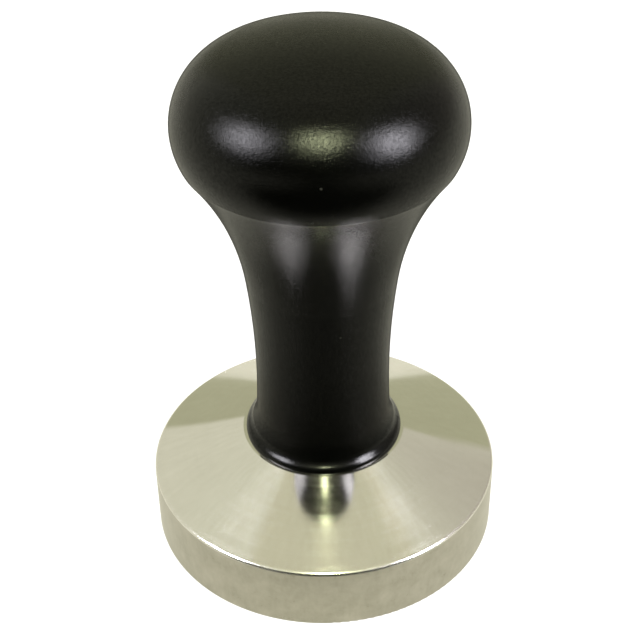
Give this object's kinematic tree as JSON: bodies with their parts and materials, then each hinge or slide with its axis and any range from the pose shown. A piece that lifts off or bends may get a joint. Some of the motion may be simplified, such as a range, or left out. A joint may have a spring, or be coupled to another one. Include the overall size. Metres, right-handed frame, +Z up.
{
  "type": "espresso tamper",
  "caption": "Hand tamper for ground coffee: a flat steel piston with a conical top, screwed to a black knob handle with a waisted stem.",
  "frame": {"origin": "centre of the flat sole, on the surface the tamper stands on", "axes": "+Z up along the turning axis, from the sole to the crown of the knob; the outside is the same all round, so +X and +Y are any two level directions at right angles"},
  "size_m": [0.058, 0.058, 0.0882],
  "materials": {
    "base_steel": "polished cone with fine turned brushing, satin rim",
    "handle_black": "black anodised over fine bead blasting, satin",
    "stud_steel": "plain machined",
    "ring_rubber": "matt black"
  },
  "bodies": {
    "base": {"tamper_base": "base_steel"},
    "ring": {"foot_o_ring": "ring_rubber"},
    "handle": {"handle": "handle_black", "connecting_stud": "stud_steel"}
  },
  "joints": [
    {"name": "handle_rise", "type": "slide", "parent": "base", "child": "ring", "axis": [0, 0, 1], "range_m": [0, 0.01]},
    {"name": "handle_turn", "type": "hinge", "parent": "ring", "child": "handle", "pos_m": [0, 0, 0.01784], "axis": [0, 0, 1], "range_deg": [0, 2880]}
  ],
  "couplings": [
    {"joint": "handle_rise", "follows": "handle_turn", "m_per_rad": 0.00019894}
  ]
}
